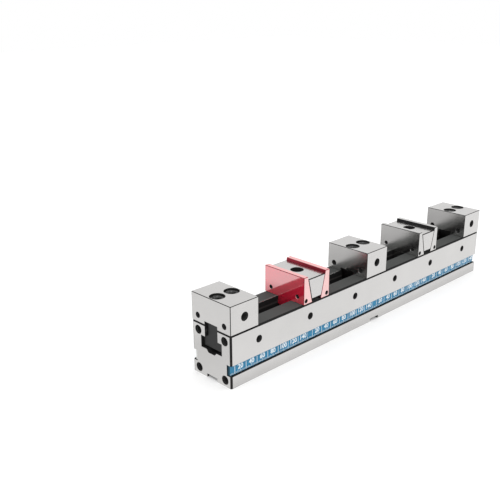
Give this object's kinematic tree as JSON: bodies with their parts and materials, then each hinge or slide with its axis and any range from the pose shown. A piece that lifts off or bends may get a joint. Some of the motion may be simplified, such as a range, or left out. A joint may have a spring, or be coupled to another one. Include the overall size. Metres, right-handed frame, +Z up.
{
  "type": "flexible vise",
  "caption": "Modular bench and machine vise: a T-slot rail carrying bolted fixed jaws and double wedge clamps that spread to hold workpieces on both sides.",
  "frame": {"origin": "centre of the rail's underside, at mid-length and mid-width", "axes": "+X along the rail, +Y across it away from the viewer's side, +Z up through the jaws"},
  "size_m": [0.6, 0.075, 0.115],
  "materials": {
    "ground_steel": "ground and polished",
    "jaw_steel": "fine ground, mirror-like faces",
    "red_steel": "red tinted polished metal",
    "nut_steel": "blackened, satin",
    "screw_black": "black oxide",
    "spring_steel": "drawn wire",
    "strip_blue": "printed strip, semi-gloss"
  },
  "bodies": {
    "rail": {"base_rail": "ground_steel", "marking_strip_front": "strip_blue", "marking_strip_rear": "strip_blue"},
    "fixed_jaw_left": {"fixed_jaw_left": "jaw_steel"},
    "jaw_t_nut_left": {"jaw_t_nut_left": "nut_steel"},
    "jaw_screw_left_a": {"jaw_screw_left_a": "screw_black"},
    "jaw_screw_left_b": {"jaw_screw_left_b": "screw_black"},
    "fixed_jaw_centre": {"fixed_jaw_centre": "jaw_steel"},
    "jaw_t_nut_centre": {"jaw_t_nut_centre": "nut_steel"},
    "jaw_screw_centre_a": {"jaw_screw_centre_a": "screw_black"},
    "jaw_screw_centre_b": {"jaw_screw_centre_b": "screw_black"},
    "fixed_jaw_right": {"fixed_jaw_right": "jaw_steel"},
    "jaw_t_nut_right": {"jaw_t_nut_right": "nut_steel"},
    "jaw_screw_right_a": {"jaw_screw_right_a": "screw_black"},
    "jaw_screw_right_b": {"jaw_screw_right_b": "screw_black"},
    "clamp_t_nut_left": {"clamp_t_nut_left": "nut_steel", "lift_spring_left": "spring_steel"},
    "clamp_wedge_left": {"clamp_wedge_left": "jaw_steel"},
    "clamp_screw_left": {"clamp_screw_left": "screw_black"},
    "clamp_jaw_left_a": {"clamp_jaw_left_a": "red_steel"},
    "clamp_jaw_left_b": {"clamp_jaw_left_b": "red_steel"},
    "clamp_t_nut_right": {"clamp_t_nut_right": "nut_steel", "lift_spring_right": "spring_steel"},
    "clamp_wedge_right": {"clamp_wedge_right": "jaw_steel"},
    "clamp_screw_right": {"clamp_screw_right": "screw_black"},
    "clamp_jaw_right_a": {"clamp_jaw_right_a": "jaw_steel"},
    "clamp_jaw_right_b": {"clamp_jaw_right_b": "jaw_steel"}
  },
  "joints": [
    {"name": "fixed_jaw_left_slide", "type": "slide", "parent": "rail", "child": "fixed_jaw_left", "axis": [1, 0, 0], "range_m": [0, 0.04]},
    {"name": "jaw_t_nut_left_drop", "type": "slide", "parent": "fixed_jaw_left", "child": "jaw_t_nut_left", "axis": [0, 0, 1], "range_m": [-0.0022, 0]},
    {"name": "jaw_screw_left_a_turn", "type": "hinge", "parent": "fixed_jaw_left", "child": "jaw_screw_left_a", "pos_m": [-0.288, 0, 0.101], "axis": [0, 0, 1], "range_deg": [-5, 460]},
    {"name": "jaw_screw_left_b_turn", "type": "hinge", "parent": "fixed_jaw_left", "child": "jaw_screw_left_b", "pos_m": [-0.263, 0, 0.101], "axis": [0, 0, 1], "range_deg": [-5, 460]},
    {"name": "fixed_jaw_centre_slide", "type": "slide", "parent": "rail", "child": "fixed_jaw_centre", "axis": [1, 0, 0], "range_m": [-0.04, 0.04]},
    {"name": "jaw_t_nut_centre_drop", "type": "slide", "parent": "fixed_jaw_centre", "child": "jaw_t_nut_centre", "axis": [0, 0, 1], "range_m": [-0.0022, 0]},
    {"name": "jaw_screw_centre_a_turn", "type": "hinge", "parent": "fixed_jaw_centre", "child": "jaw_screw_centre_a", "pos_m": [-0.0125, 0, 0.101], "axis": [0, 0, 1], "range_deg": [-5, 460]},
    {"name": "jaw_screw_centre_b_turn", "type": "hinge", "parent": "fixed_jaw_centre", "child": "jaw_screw_centre_b", "pos_m": [0.0125, 0, 0.101], "axis": [0, 0, 1], "range_deg": [-5, 460]},
    {"name": "fixed_jaw_right_slide", "type": "slide", "parent": "rail", "child": "fixed_jaw_right", "axis": [1, 0, 0], "range_m": [-0.04, 0]},
    {"name": "jaw_t_nut_right_drop", "type": "slide", "parent": "fixed_jaw_right", "child": "jaw_t_nut_right", "axis": [0, 0, 1], "range_m": [-0.0022, 0]},
    {"name": "jaw_screw_right_a_turn", "type": "hinge", "parent": "fixed_jaw_right", "child": "jaw_screw_right_a", "pos_m": [0.263, 0, 0.101], "axis": [0, 0, 1], "range_deg": [-5, 460]},
    {"name": "jaw_screw_right_b_turn", "type": "hinge", "parent": "fixed_jaw_right", "child": "jaw_screw_right_b", "pos_m": [0.288, 0, 0.101], "axis": [0, 0, 1], "range_deg": [-5, 460]},
    {"name": "clamp_left_slide", "type": "slide", "parent": "rail", "child": "clamp_t_nut_left", "axis": [1, 0, 0], "range_m": [-0.04, 0.04]},
    {"name": "clamp_wedge_left_travel", "type": "slide", "parent": "clamp_t_nut_left", "child": "clamp_wedge_left", "axis": [0, 0, 1], "range_m": [-0.0045, 0.0042], "deforming": ["lift_spring_left"]},
    {"name": "clamp_screw_left_turn", "type": "hinge", "parent": "clamp_wedge_left", "child": "clamp_screw_left", "pos_m": [-0.13775, 0, 0.0937], "axis": [0, 0, 1], "range_deg": [-1085, 1013]},
    {"name": "clamp_jaw_left_a_spread", "type": "slide", "parent": "clamp_t_nut_left", "child": "clamp_jaw_left_a", "axis": [1, 0, 0], "range_m": [-0.00109, 0.00102]},
    {"name": "clamp_jaw_left_b_spread", "type": "slide", "parent": "clamp_t_nut_left", "child": "clamp_jaw_left_b", "axis": [1, 0, 0], "range_m": [-0.00102, 0.00109]},
    {"name": "clamp_right_slide", "type": "slide", "parent": "rail", "child": "clamp_t_nut_right", "axis": [1, 0, 0], "range_m": [-0.04, 0.04]},
    {"name": "clamp_wedge_right_travel", "type": "slide", "parent": "clamp_t_nut_right", "child": "clamp_wedge_right", "axis": [0, 0, 1], "range_m": [-0.0045, 0.0042], "deforming": ["lift_spring_right"]},
    {"name": "clamp_screw_right_turn", "type": "hinge", "parent": "clamp_wedge_right", "child": "clamp_screw_right", "pos_m": [0.13775, 0, 0.0937], "axis": [0, 0, 1], "range_deg": [-1085, 1013]},
    {"name": "clamp_jaw_right_a_spread", "type": "slide", "parent": "clamp_t_nut_right", "child": "clamp_jaw_right_a", "axis": [1, 0, 0], "range_m": [-0.00109, 0.00102]},
    {"name": "clamp_jaw_right_b_spread", "type": "slide", "parent": "clamp_t_nut_right", "child": "clamp_jaw_right_b", "axis": [1, 0, 0], "range_m": [-0.00102, 0.00109]}
  ],
  "couplings": [
    {"joint": "jaw_screw_left_a_turn", "follows": "jaw_t_nut_left_drop", "rad_per_m": -3590.4},
    {"joint": "jaw_screw_left_b_turn", "follows": "jaw_t_nut_left_drop", "rad_per_m": -3590.4},
    {"joint": "jaw_screw_centre_a_turn", "follows": "jaw_t_nut_centre_drop", "rad_per_m": -3590.4},
    {"joint": "jaw_screw_centre_b_turn", "follows": "jaw_t_nut_centre_drop", "rad_per_m": -3590.4},
    {"joint": "jaw_screw_right_a_turn", "follows": "jaw_t_nut_right_drop", "rad_per_m": -3590.4},
    {"joint": "jaw_screw_right_b_turn", "follows": "jaw_t_nut_right_drop", "rad_per_m": -3590.4},
    {"joint": "clamp_screw_left_turn", "follows": "clamp_wedge_left_travel", "rad_per_m": 4188.8},
    {"joint": "clamp_jaw_left_a_spread", "follows": "clamp_wedge_left_travel", "ratio": 0.23823},
    {"joint": "clamp_jaw_left_b_spread", "follows": "clamp_wedge_left_travel", "ratio": -0.23823},
    {"joint": "clamp_screw_right_turn", "follows": "clamp_wedge_right_travel", "rad_per_m": 4188.8},
    {"joint": "clamp_jaw_right_a_spread", "follows": "clamp_wedge_right_travel", "ratio": 0.23823},
    {"joint": "clamp_jaw_right_b_spread", "follows": "clamp_wedge_right_travel", "ratio": -0.23823}
  ]
}
